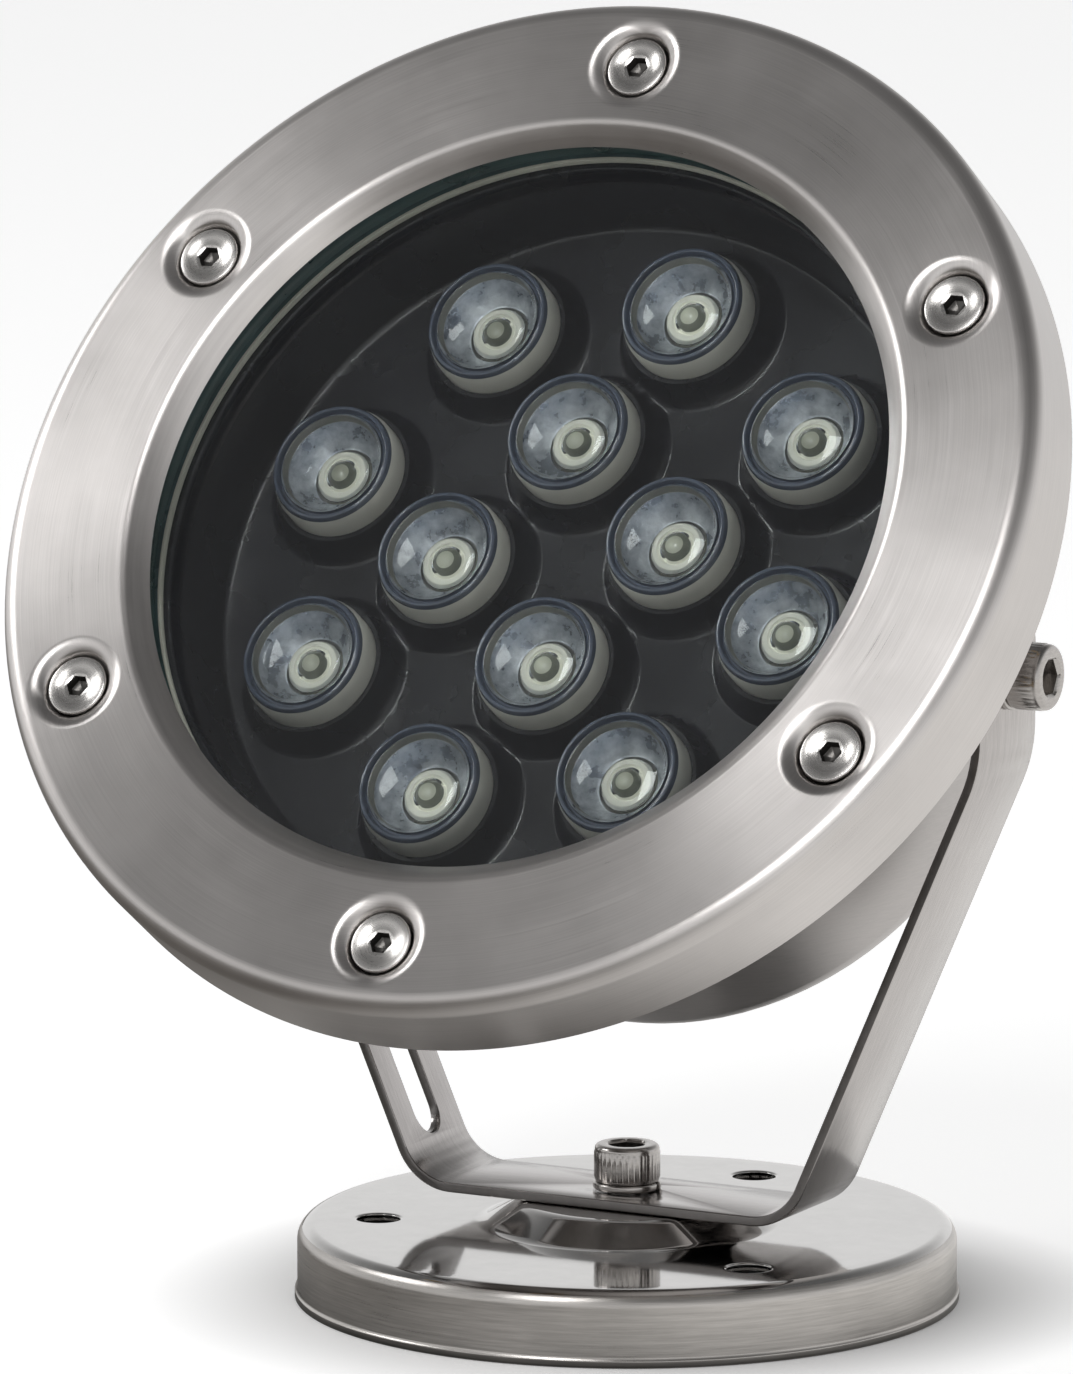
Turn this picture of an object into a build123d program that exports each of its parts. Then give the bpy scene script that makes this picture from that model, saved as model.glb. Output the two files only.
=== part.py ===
from build123d import *
from math import atan2, cos, degrees, radians, sin
import os

# Underwater pond light. A round stainless head with twelve lensed LEDs tilts between the arms of
# a U-shaped strap, and the strap swivels on a round base. All sizes are in millimetres.
# Origin: centre of the base's underside. +Z is up, +X runs along the tilt axis, and the beam
# points to -Y and upwards. A depth is measured backwards from the front ring's flat face.

# ---- frame of the head ----
PIVOT_HEIGHT = 99.2
BEAM_ELEVATION = 33.8
FACE_AHEAD = 46.7  # front ring's face, ahead of the tilt axis
BEAM_ABOVE_PIVOT = 1.5  # the head's centre line passes this far above the tilt axis

# ---- base ----
BASE_RADIUS = 50.0
BASE_WALL_RADIUS = 49.6
BASE_TOP = 11.3
BASE_EDGE_FILLET = 3.0
BOSS_FILLET = 4.0
RIM_HEIGHT = 1.2
BOSS_TOP = 14.6
BOSS_TOP_RADIUS = 16.0
BOSS_FOOT_RADIUS = 22.0
ANCHOR_CIRCLE_RADIUS = 37.4
ANCHOR_HOLE_RADIUS = 3.25
ANCHOR_FIRST_ANGLE = 86.0
SHEET = 1.2  # pressed stainless sheet of base, ring and can

# ---- M6 fasteners ----
M6_RADIUS = 3.0
M6_HOLE_RADIUS = 3.3
M6_HEAD_RADIUS = 5.0
M6_HEAD_HEIGHT = 5.7
M6_SOCKET_FLATS = 5.0
M6_SOCKET_DEPTH = 3.2
M6_NUT_FLATS = 10.0
M6_NUT_HEIGHT = 5.0
SPRING_WASHER_RADIUS = 5.2
SPRING_WASHER_HEIGHT = 1.1
SPRING_WASHER_SPLIT = 1.1
FLAT_WASHER_RADIUS = 6.2
FLAT_WASHER_HEIGHT = 1.2

# ---- strap ----
STRAP_WIDTH = 18.8
STRAP_THICKNESS = 1.5
STRAP_HALF_FOOT = 31.6  # from the centre to the lower bend's corner
ARM_INNER = 61.2  # inner face of an arm at the tilt axis, from the middle
ARM_BEND_BELOW_PIVOT = 13.0
ARM_END_ABOVE_PIVOT = 12.0
LOWER_BEND_RADIUS = 9.5
UPPER_BEND_RADIUS = 22.0
SLOT_WIDTH = 7.0
SLOT_BOTTOM = 21.5
SLOT_TOP = 80.0
RUNNING_GAP = 0.1  # between faces of pieces that turn on each other

# ---- front ring ----
RING_RADIUS = 82.0
RING_CORNER_FILLET = 3.0
SKIRT_DEPTH = 14.2
LIP_CORNER_RADIUS = 60.0
LIP_EDGE_RADIUS = 58.4
LIP_DEPTH = 2.7
LIP_FILLET = 5.0
SCREW_COUNT = 6
SCREW_CIRCLE_RADIUS = 71.2
SCREW_HEAD_DEPTH = 1.0
SCREW_HEAD_RADIUS = 4.65
SCREW_RADIUS = 2.5
SCREW_CONE_DEPTH = 3.35
SCREW_END_DEPTH = 21.5
SCREW_SOCKET_FLATS = 3.0
SCREW_SOCKET_DEPTH = 1.9
DIMPLE_MOUTH_RADIUS = 6.6
DIMPLE_WALL_RADIUS = 5.25
DIMPLE_DEPTH = 1.4
DIMPLE_CUP_RADIUS = 7.4
DIMPLE_CUP_DEPTH = 4.4

# ---- glass and gaskets ----
GLASS_RADIUS = 60.2
GLASS_FRONT = 3.4
GLASS_THICKNESS = 8.0
GLASS_CHAMFER = 0.5
FRONT_GASKET_INNER = 59.9
FRONT_GASKET_OUTER = 63.0
FRONT_GASKET_THICKNESS = 0.7
REAR_GASKET_INNER = 58.4
REAR_GASKET_THICKNESS = 1.2
SEAT_RADIUS = 63.5

# ---- can ----
CAN_MOUTH_RADIUS = 61.2
CAN_BACK_RADIUS = 48.0
CAN_BACK = 86.0
CAN_BACK_FILLET = 10.0
CAN_NECK_FILLET = 1.0
FLANGE_RADIUS = 80.3
NUT_BODY_RADIUS = 3.5
NUT_HEAD_RADIUS = 4.6
NUT_HEAD_HEIGHT = 0.8
NUT_LENGTH = 9.0
BOSS_RADIUS = 7.0
BOSS_INNER_END = 50.5
BOSS_OUTER_END = 61.1
PIVOT_BOLT_END = 52.0

# ---- black tray, lenses and LEDs ----
TRAY_THICKNESS = 0.8
TRAY_FLOOR_DEPTH = 27.8
TRAY_FLOOR_RADIUS = 56.5
TRAY_MOUTH_RADIUS = 58.2
TRAY_CORNER_FILLET = 0.8
TRAY_LIP_FILLET = 0.6
INNER_COUNT, INNER_CIRCLE_RADIUS, INNER_FIRST_ANGLE = 4, 18.4, 98.3
OUTER_COUNT, OUTER_CIRCLE_RADIUS, OUTER_FIRST_ANGLE = 8, 41.05, 75.8
COLLAR_FOOT_RADIUS = 12.4
COLLAR_TOP_RADIUS = 10.8
COLLAR_HEIGHT = 4.2
LENS_HOLE_RADIUS = 10.1
LENS_RADIUS = 10.0
LENS_SHOULDER_DEPTH = 19.2
LENS_APEX_DEPTH = 18.4
LENS_SKIRT_DEPTH = 24.0
LENS_SKIRT_INNER = 9.4
LENS_FOOT_RADIUS = 5.6
LENS_CAVITY_RADIUS = 3.0
LENS_CAVITY_DEPTH = 23.6
LED_PACKAGE_RADIUS = 4.0
LED_PACKAGE_HEIGHT = 4.0
LED_DOME_RADIUS = 2.6

# ---- circuit boards ----
BOARD_RADIUS = 54.0
BOARD_FRONT = 31.0
BOARD_THICKNESS = 1.6
STANDOFF_COUNT, STANDOFF_CIRCLE_RADIUS, STANDOFF_FIRST_ANGLE = 4, 35.0, 53.3
STANDOFF_RADIUS = 3.2
M3_RADIUS = 1.5
M3_HEAD_RADIUS = 2.8
M3_HEAD_HEIGHT = 2.0
M3_LENGTH = 7.0
DRIVER_LENGTH, DRIVER_WIDTH = 56.0, 34.0
DRIVER_FRONT = 73.0
DRIVER_HOLE_INSET = 4.0
SPACER_RADIUS = 2.7
CAPACITOR_RADIUS, CAPACITOR_HEIGHT = 5.0, 12.0
INDUCTOR_RADIUS, INDUCTOR_HEIGHT = 7.0, 8.0

# ---- cable gland ----
GLAND_THREAD_RADIUS = 8.0
GLAND_FLATS = 22.0
GLAND_CABLE_RADIUS = 3.5
GLAND_BORE_RADIUS = 4.5
GLAND_POCKET_RADIUS = 6.2
GLAND_TAIL_RADIUS = 9.0
GLAND_WASHER_RADIUS = 12.0
GLAND_WASHER_THICKNESS = 1.5
GLAND_HEX_HEIGHT = 5.0
GLAND_TAIL_LENGTH = 9.0
GLAND_INNER_END = 77.8
GLAND_SEAL_LENGTH = 12.0
GLAND_NUT_CREST_RADIUS = 7.5
GLAND_NUT_LENGTH = 14.5
LOCKNUT_HEIGHT = 5.0

# ---- planes and axes ----
TILT = radians(BEAM_ELEVATION)
BEAM = Vector(0, -cos(TILT), sin(TILT))
PIVOT = Vector(0, 0, PIVOT_HEIGHT)
FACE_CENTRE = PIVOT + BEAM * FACE_AHEAD + Vector(0, sin(TILT), cos(TILT)) * BEAM_ABOVE_PIVOT
FACE = Plane(origin=FACE_CENTRE, x_dir=(1, 0, 0), z_dir=BEAM)
# in the head's section plane, x is the radius and y runs forwards from the face
HEAD_SECTION = Plane(origin=FACE_CENTRE, x_dir=(1, 0, 0), z_dir=(0, -sin(TILT), -cos(TILT)))
BEAM_AXIS = Axis(FACE_CENTRE, BEAM)
RIGHT = Plane(origin=PIVOT, x_dir=(0, 1, 0), z_dir=(1, 0, 0))
LEFT = Plane(origin=PIVOT, x_dir=(0, -1, 0), z_dir=(-1, 0, 0))

# ---- the stack between ring and can, front to back ----
GLASS_BACK = GLASS_FRONT + GLASS_THICKNESS
LIP_FRONT = GLASS_BACK + REAR_GASKET_THICKNESS  # the tray's lip, under the gasket
FLANGE_FRONT = LIP_FRONT + TRAY_THICKNESS
FLANGE_BACK = FLANGE_FRONT + SHEET
CAN_FLOOR = CAN_BACK - SHEET


def on_circle(count, radius, first_angle):
    """Points of the face plane, evenly spaced on a circle."""
    angles = [radians(first_angle + 360 * step / count) for step in range(count)]
    return [(radius * cos(angle), radius * sin(angle)) for angle in angles]


LED_SPOTS = (
    on_circle(INNER_COUNT, INNER_CIRCLE_RADIUS, INNER_FIRST_ANGLE)
    + on_circle(OUTER_COUNT, OUTER_CIRCLE_RADIUS, OUTER_FIRST_ANGLE)
)


def finish(piece, name):
    """Label a finished piece and write its STEP file."""
    piece.part.label = name
    export_step(piece.part, f"parts/{name}.step")
    print(name, len(piece.part.solids()))


def behind(*points):
    """(radius, depth) corners as points of the head's section plane."""
    return [(radius, -depth) for radius, depth in points]


def turned(points, section=HEAD_SECTION, axis=BEAM_AXIS):
    """A solid of revolution from the corners of its half section."""
    with BuildPart() as piece:
        with BuildSketch(section):
            with BuildLine():
                Polyline(*points, close=True)
            make_face()
        revolve(axis=axis)
    return piece


def pressed(points, radii, thickness, side, section=HEAD_SECTION, axis=BEAM_AXIS):
    """A sheet shell of revolution from the filleted line of one of its surfaces."""
    with BuildPart() as piece:
        with BuildSketch(section):
            with BuildLine():
                FilletPolyline(*points, radius=radii)
                offset(amount=thickness, side=side)
            make_face()
        revolve(axis=axis)
    return piece


def washer(plane, seat, outer, inner, height):
    """A flat ring that stands on a plane at a height."""
    with BuildPart() as piece:
        with BuildSketch(plane.offset(seat)):
            Circle(outer)
            Circle(inner, mode=Mode.SUBTRACT)
        extrude(amount=height)
    return piece


def spring_washer(plane, seat):
    """A split M6 washer, its split to one side."""
    with BuildPart() as piece:
        with BuildSketch(plane.offset(seat)):
            Circle(SPRING_WASHER_RADIUS)
            Circle(M6_HOLE_RADIUS, mode=Mode.SUBTRACT)
            with Locations((SPRING_WASHER_RADIUS, 0)):
                Rectangle(2 * SPRING_WASHER_RADIUS, SPRING_WASHER_SPLIT, mode=Mode.SUBTRACT)
        extrude(amount=SPRING_WASHER_HEIGHT)
    return piece


def cap_screw(plane, seat, end):
    """An M6 socket cap screw: its head stands on the seat and its shank reaches down to the end."""
    with BuildPart() as piece:
        with BuildSketch(plane.offset(end)):
            Circle(M6_RADIUS)
        extrude(amount=seat - end)
        with BuildSketch(plane.offset(seat)):
            Circle(M6_HEAD_RADIUS)
        extrude(amount=M6_HEAD_HEIGHT)
        rim = piece.edges().filter_by(GeomType.CIRCLE).sort_by(Axis(plane.origin, plane.z_dir))[-1]
        chamfer(rim, length=0.6)
        with BuildSketch(plane.offset(seat + M6_HEAD_HEIGHT)):
            RegularPolygon(M6_SOCKET_FLATS / 2, 6, major_radius=False)
        extrude(amount=-M6_SOCKET_DEPTH, mode=Mode.SUBTRACT)
    return piece


def hex_nut(plane, seat, flats, bore, height):
    """A hexagon nut that stands on a plane at a height."""
    with BuildPart() as piece:
        with BuildSketch(plane.offset(seat)):
            RegularPolygon(flats / 2, 6, major_radius=False)
            Circle(bore, mode=Mode.SUBTRACT)
        extrude(amount=height)
    return piece


# ======== base ========

def make_base_plate():
    """Hollow pressed disc with a raised centre, a rim bead and three anchor holes."""
    outline = [
        (M6_HOLE_RADIUS, BOSS_TOP),
        (BOSS_TOP_RADIUS, BOSS_TOP),
        (BOSS_FOOT_RADIUS, BASE_TOP),
        (BASE_WALL_RADIUS, BASE_TOP),
        (BASE_WALL_RADIUS, 0),
    ]
    radii = [BOSS_FILLET, BOSS_FILLET, BASE_EDGE_FILLET]
    disc = pressed(outline, radii, SHEET, Side.RIGHT, Plane.XZ, Axis.Z)
    with BuildPart() as base:
        add(disc.part)
        with BuildSketch(Plane.XY):
            Circle(BASE_RADIUS)
            Circle(BASE_WALL_RADIUS - SHEET, mode=Mode.SUBTRACT)
        extrude(amount=RIM_HEIGHT)
        with BuildSketch(Plane.XY.offset(BOSS_TOP)):
            with PolarLocations(ANCHOR_CIRCLE_RADIUS, 3, start_angle=ANCHOR_FIRST_ANGLE):
                Circle(ANCHOR_HOLE_RADIUS)
        extrude(amount=-BOSS_TOP, mode=Mode.SUBTRACT)
    finish(base, "base_plate")


def make_base_fasteners():
    """The swivel bolt, its washers and the nut inside the hollow base."""
    strap_top = BOSS_TOP + RUNNING_GAP + STRAP_THICKNESS
    washer_seat = strap_top + RUNNING_GAP
    head_seat = washer_seat + SPRING_WASHER_HEIGHT
    under_boss = BOSS_TOP - SHEET
    nut_top = under_boss - FLAT_WASHER_HEIGHT
    nut_bottom = nut_top - M6_NUT_HEIGHT
    finish(cap_screw(Plane.XY, head_seat, nut_bottom - 1.5), "base_bolt")
    finish(spring_washer(Plane.XY, washer_seat), "base_spring_washer")
    finish(washer(Plane.XY, nut_top, FLAT_WASHER_RADIUS, M6_HOLE_RADIUS, FLAT_WASHER_HEIGHT),
           "base_flat_washer")
    finish(hex_nut(Plane.XY, nut_bottom, M6_NUT_FLATS, M6_RADIUS, M6_NUT_HEIGHT), "base_nut")


# ======== strap ========

def make_u_bracket():
    """Bent strap with round arm ends, pivot holes and a long slot in the left arm."""
    foot = BOSS_TOP + RUNNING_GAP
    outer = ARM_INNER + STRAP_THICKNESS
    elbow = PIVOT_HEIGHT - ARM_BEND_BELOW_PIVOT
    top = PIVOT_HEIGHT + ARM_END_ABOVE_PIVOT
    half_line = [(STRAP_HALF_FOOT, foot), (outer, elbow), (outer, top)]
    mirrored = [(-x, z) for x, z in reversed(half_line)]
    with BuildPart() as bracket:
        with BuildSketch(Plane.XZ):
            with BuildLine():
                FilletPolyline(
                    *mirrored,
                    *half_line,
                    radius=[UPPER_BEND_RADIUS, LOWER_BEND_RADIUS, LOWER_BEND_RADIUS, UPPER_BEND_RADIUS],
                )
                offset(amount=STRAP_THICKNESS, side=Side.LEFT)
            make_face()
        extrude(amount=STRAP_WIDTH / 2, both=True)
        arm_ends = bracket.edges().filter_by(Axis.X).group_by(Axis.Z)[-1]
        fillet(arm_ends, radius=STRAP_WIDTH / 2 - 0.1)
        with BuildSketch(RIGHT):
            Circle(M6_HOLE_RADIUS)
        extrude(amount=2 * ARM_INNER, both=True, mode=Mode.SUBTRACT)
        with BuildSketch(Plane.XY):
            Circle(M6_HOLE_RADIUS)
        extrude(amount=PIVOT_HEIGHT, mode=Mode.SUBTRACT)
        with BuildSketch(LEFT.offset(STRAP_HALF_FOOT / 2)):
            with Locations((0, (SLOT_BOTTOM + SLOT_TOP) / 2 - PIVOT_HEIGHT)):
                SlotOverall(SLOT_TOP - SLOT_BOTTOM, SLOT_WIDTH, rotation=90)
        extrude(amount=ARM_INNER, mode=Mode.SUBTRACT)
    finish(bracket, "u_bracket")


def make_pivot_fasteners():
    """Boss, split washer and cap screw on each side of the head."""
    washer_seat = ARM_INNER + STRAP_THICKNESS + RUNNING_GAP
    head_seat = washer_seat + SPRING_WASHER_HEIGHT
    for side, plane in (("right", RIGHT), ("left", LEFT)):
        with BuildPart() as boss:
            with BuildSketch(plane.offset(BOSS_INNER_END)):
                Circle(BOSS_RADIUS)
            extrude(amount=BOSS_OUTER_END - BOSS_INNER_END)
            with BuildSketch(plane.offset(BOSS_OUTER_END)):
                Circle(M6_RADIUS)
            extrude(amount=PIVOT_BOLT_END - BOSS_OUTER_END, mode=Mode.SUBTRACT)
        finish(boss, f"{side}_pivot_boss")
        finish(cap_screw(plane, head_seat, PIVOT_BOLT_END), f"{side}_pivot_bolt")
        finish(spring_washer(plane, washer_seat), f"{side}_spring_washer")


# ======== front ring, glass and can ========

def screw_places():
    """The front screws' places: one at the top, the others every sixth of a turn."""
    return PolarLocations(SCREW_CIRCLE_RADIUS, SCREW_COUNT, start_angle=90)


def make_bezel_ring():
    """Pressed ring: skirt, flat face, inner lip rolled towards the glass and six screw dimples."""
    ring = pressed(
        behind((LIP_EDGE_RADIUS, LIP_DEPTH), (LIP_CORNER_RADIUS, 0), (RING_RADIUS, 0),
               (RING_RADIUS, SKIRT_DEPTH)),
        [LIP_FILLET, RING_CORNER_FILLET],
        SHEET,
        Side.RIGHT,
    )
    cup_height = DIMPLE_CUP_DEPTH - SHEET / 2
    cone_height = SCREW_CONE_DEPTH - DIMPLE_DEPTH
    with BuildPart() as bezel:
        add(ring.part)
        with BuildSketch(FACE.offset(-SHEET / 2)):
            with screw_places():
                Circle(DIMPLE_CUP_RADIUS)
        extrude(amount=-cup_height, taper=22)
        with BuildSketch(FACE):
            with screw_places():
                Circle(DIMPLE_MOUTH_RADIUS)
        extrude(amount=-DIMPLE_DEPTH, taper=44, mode=Mode.SUBTRACT)
        with BuildSketch(FACE.offset(-DIMPLE_DEPTH / 2)):
            with screw_places():
                Circle(DIMPLE_WALL_RADIUS)
        extrude(amount=-DIMPLE_DEPTH / 2, mode=Mode.SUBTRACT)
        with BuildSketch(FACE.offset(-DIMPLE_DEPTH)):
            with screw_places():
                Circle(SCREW_HEAD_RADIUS + 0.1)
        extrude(amount=-cone_height, taper=45, mode=Mode.SUBTRACT)
        with BuildSketch(FACE):
            with screw_places():
                Circle(SCREW_RADIUS + 0.3)
        extrude(amount=-SKIRT_DEPTH, mode=Mode.SUBTRACT)
    finish(bezel, "bezel_ring")


def make_bezel_screws():
    """Six countersunk hex-socket screws."""
    with BuildPart() as screws:
        with BuildSketch(FACE.offset(-SCREW_HEAD_DEPTH)):
            with screw_places():
                Circle(SCREW_HEAD_RADIUS)
        extrude(amount=-0.3)
        with BuildSketch(FACE.offset(-SCREW_HEAD_DEPTH - 0.3)):
            with screw_places():
                Circle(SCREW_HEAD_RADIUS)
        extrude(amount=-(SCREW_HEAD_RADIUS - SCREW_RADIUS), taper=45)
        with BuildSketch(FACE.offset(-SCREW_CONE_DEPTH)):
            with screw_places():
                Circle(SCREW_RADIUS)
        extrude(amount=SCREW_CONE_DEPTH - SCREW_END_DEPTH)
        with BuildSketch(FACE.offset(-SCREW_HEAD_DEPTH)):
            with screw_places():
                RegularPolygon(SCREW_SOCKET_FLATS / 2, 6, major_radius=False)
        extrude(amount=-SCREW_SOCKET_DEPTH, mode=Mode.SUBTRACT)
    finish(screws, "bezel_screws")


def make_insert_nuts():
    """Six rivet nuts in the can's flange, under the screws."""
    with BuildPart() as nuts:
        with BuildSketch(FACE.offset(-FLANGE_FRONT)):
            with screw_places():
                Circle(NUT_HEAD_RADIUS)
        extrude(amount=NUT_HEAD_HEIGHT)
        with BuildSketch(FACE.offset(-FLANGE_FRONT)):
            with screw_places():
                Circle(NUT_BODY_RADIUS)
        extrude(amount=-NUT_LENGTH)
        with BuildSketch(FACE.offset(-FLANGE_FRONT + NUT_HEAD_HEIGHT)):
            with screw_places():
                Circle(SCREW_RADIUS)
        extrude(amount=-NUT_LENGTH - NUT_HEAD_HEIGHT, mode=Mode.SUBTRACT)
    finish(nuts, "insert_nuts")


def make_glass_and_gaskets():
    """The glass disc and the silicone rings in front of it and behind it."""
    with BuildPart() as glass:
        with BuildSketch(FACE.offset(-GLASS_BACK)):
            Circle(GLASS_RADIUS)
        extrude(amount=GLASS_THICKNESS)
        chamfer(glass.edges().filter_by(GeomType.CIRCLE), length=GLASS_CHAMFER)
    finish(glass, "glass")
    finish(washer(FACE, -GLASS_FRONT, FRONT_GASKET_OUTER, FRONT_GASKET_INNER,
                  FRONT_GASKET_THICKNESS), "front_gasket")
    finish(washer(FACE, -LIP_FRONT, SEAT_RADIUS, REAR_GASKET_INNER, REAR_GASKET_THICKNESS),
           "rear_gasket")


def make_housing_can():
    """Drawn can with a flange for the ring, holes for the two bosses and one for the gland."""
    shell = pressed(
        behind((GLAND_THREAD_RADIUS, CAN_BACK), (CAN_BACK_RADIUS, CAN_BACK),
               (CAN_MOUTH_RADIUS, FLANGE_BACK), (FLANGE_RADIUS, FLANGE_BACK)),
        [CAN_BACK_FILLET, CAN_NECK_FILLET],
        SHEET,
        Side.LEFT,
    )
    with BuildPart() as can:
        add(shell.part)
        with BuildSketch(FACE.offset(-FLANGE_BACK)):
            with screw_places():
                Circle(NUT_BODY_RADIUS)
        extrude(amount=SHEET, mode=Mode.SUBTRACT)
        with BuildSketch(RIGHT):
            Circle(BOSS_RADIUS)
        extrude(amount=CAN_MOUTH_RADIUS, both=True, mode=Mode.SUBTRACT)
    finish(can, "housing_can")


# ======== tray, lenses, LEDs ========

def make_lens_plate():
    """Black tray: floor, slightly conical wall, lip on the flange and twelve conical collars."""
    dish = pressed(
        behind((0, TRAY_FLOOR_DEPTH), (TRAY_FLOOR_RADIUS, TRAY_FLOOR_DEPTH),
               (TRAY_MOUTH_RADIUS, LIP_FRONT), (SEAT_RADIUS, LIP_FRONT)),
        [TRAY_CORNER_FILLET, TRAY_LIP_FILLET],
        TRAY_THICKNESS,
        Side.RIGHT,
    )
    collar_taper = degrees(atan2(COLLAR_FOOT_RADIUS - COLLAR_TOP_RADIUS, COLLAR_HEIGHT))
    with BuildPart() as tray:
        add(dish.part)
        for x, y in LED_SPOTS:
            with BuildSketch(FACE.offset(-TRAY_FLOOR_DEPTH)):
                with Locations((x, y)):
                    Circle(COLLAR_FOOT_RADIUS)
            extrude(amount=COLLAR_HEIGHT, taper=collar_taper)
        with BuildSketch(FACE.offset(-LENS_SHOULDER_DEPTH)):
            with Locations(*LED_SPOTS):
                Circle(LENS_HOLE_RADIUS)
        extrude(amount=LENS_SHOULDER_DEPTH - BOARD_FRONT, mode=Mode.SUBTRACT)
    finish(tray, "lens_plate")


def make_lens_and_led(number, spot):
    """One collimator lens and the LED under it, centred on a spot of the face plane."""
    centre = FACE.from_local_coords((*spot, 0))
    section = Plane(origin=centre, x_dir=(1, 0, 0), z_dir=HEAD_SECTION.z_dir)
    axis = Axis(centre, BEAM)
    package_front = BOARD_FRONT - LED_PACKAGE_HEIGHT
    with BuildPart() as lens:
        with BuildSketch(section):
            with BuildLine():
                Polyline(*behind(
                    (0, LENS_APEX_DEPTH),
                    (0, LENS_CAVITY_DEPTH),
                    (LENS_CAVITY_RADIUS, LENS_CAVITY_DEPTH),
                    (LENS_CAVITY_RADIUS, package_front),
                    (LENS_FOOT_RADIUS, package_front),
                    (LENS_SKIRT_INNER, LENS_SKIRT_DEPTH),
                    (LENS_RADIUS, LENS_SKIRT_DEPTH),
                    (LENS_RADIUS, LENS_SHOULDER_DEPTH),
                ))
                TangentArc(*behind((0, LENS_APEX_DEPTH), (LENS_RADIUS, LENS_SHOULDER_DEPTH)),
                           tangent=(1, 0))
            make_face()
        revolve(axis=axis)
    finish(lens, f"lens_{number:02d}")
    with BuildPart() as led:
        with BuildSketch(section):
            with BuildLine():
                Polyline(*behind(
                    (0, package_front - LED_DOME_RADIUS),
                    (0, BOARD_FRONT),
                    (LED_PACKAGE_RADIUS, BOARD_FRONT),
                    (LED_PACKAGE_RADIUS, package_front),
                    (LED_DOME_RADIUS, package_front),
                ))
                TangentArc(*behind((0, package_front - LED_DOME_RADIUS),
                                   (LED_DOME_RADIUS, package_front)), tangent=(1, 0))
            make_face()
        revolve(axis=axis)
    finish(led, f"led_{number:02d}")


# ======== circuit boards ========

def make_led_board():
    """Round aluminium board on four pillars that stand on the can's back."""
    back = BOARD_FRONT + BOARD_THICKNESS
    with BuildPart() as board:
        with BuildSketch(FACE.offset(-back)):
            Circle(BOARD_RADIUS)
            with standoff_places():
                Circle(M3_RADIUS, mode=Mode.SUBTRACT)
        extrude(amount=BOARD_THICKNESS)
    finish(board, "led_board")
    with BuildPart() as standoffs:
        with BuildSketch(FACE.offset(-CAN_FLOOR)):
            with standoff_places():
                Circle(STANDOFF_RADIUS)
        extrude(amount=CAN_FLOOR - back)
        with BuildSketch(FACE.offset(-back)):
            with standoff_places():
                Circle(M3_RADIUS)
        extrude(amount=BOARD_THICKNESS - M3_LENGTH, mode=Mode.SUBTRACT)
    finish(standoffs, "board_standoffs")
    with BuildPart() as screws:
        with BuildSketch(FACE.offset(-BOARD_FRONT)):
            with standoff_places():
                Circle(M3_HEAD_RADIUS)
        extrude(amount=M3_HEAD_HEIGHT)
        with BuildSketch(FACE.offset(-BOARD_FRONT)):
            with standoff_places():
                Circle(M3_RADIUS)
        extrude(amount=-M3_LENGTH)
    finish(screws, "board_screws")


def standoff_places():
    """The pillars' places, between the outer LEDs."""
    return PolarLocations(STANDOFF_CIRCLE_RADIUS, STANDOFF_COUNT,
                          start_angle=STANDOFF_FIRST_ANGLE)


def driver_corners():
    """The driver board's four fixing places."""
    return GridLocations(DRIVER_LENGTH - 2 * DRIVER_HOLE_INSET,
                         DRIVER_WIDTH - 2 * DRIVER_HOLE_INSET, 2, 2)


def make_driver():
    """Rectangular driver board with its capacitor and inductor, on four spacers."""
    back = DRIVER_FRONT + BOARD_THICKNESS
    with BuildPart() as board:
        with BuildSketch(FACE.offset(-back)):
            Rectangle(DRIVER_LENGTH, DRIVER_WIDTH)
            with driver_corners():
                Circle(M3_RADIUS, mode=Mode.SUBTRACT)
        extrude(amount=BOARD_THICKNESS)
    finish(board, "driver_board")
    with BuildPart() as spacers:
        with BuildSketch(FACE.offset(-CAN_FLOOR)):
            with driver_corners():
                Circle(SPACER_RADIUS)
        extrude(amount=CAN_FLOOR - back)
        with BuildSketch(FACE.offset(-back)):
            with driver_corners():
                Circle(M3_RADIUS)
        extrude(amount=BOARD_THICKNESS - M3_LENGTH, mode=Mode.SUBTRACT)
    finish(spacers, "driver_spacers")
    with BuildPart() as screws:
        with BuildSketch(FACE.offset(-DRIVER_FRONT)):
            with driver_corners():
                Circle(M3_HEAD_RADIUS)
        extrude(amount=M3_HEAD_HEIGHT)
        with BuildSketch(FACE.offset(-DRIVER_FRONT)):
            with driver_corners():
                Circle(M3_RADIUS)
        extrude(amount=-M3_LENGTH)
    finish(screws, "driver_screws")
    components = (("driver_capacitor", -1, CAPACITOR_RADIUS, CAPACITOR_HEIGHT),
                  ("driver_inductor", 1, INDUCTOR_RADIUS, INDUCTOR_HEIGHT))
    for name, side, radius, height in components:
        with BuildPart() as component:
            with BuildSketch(FACE.offset(-DRIVER_FRONT)):
                with Locations((side * DRIVER_LENGTH / 5, 0)):
                    Circle(radius)
            extrude(amount=height)
            chamfer(component.edges().filter_by(GeomType.CIRCLE), length=0.6)
        finish(component, name)


# ======== cable gland ========

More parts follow.
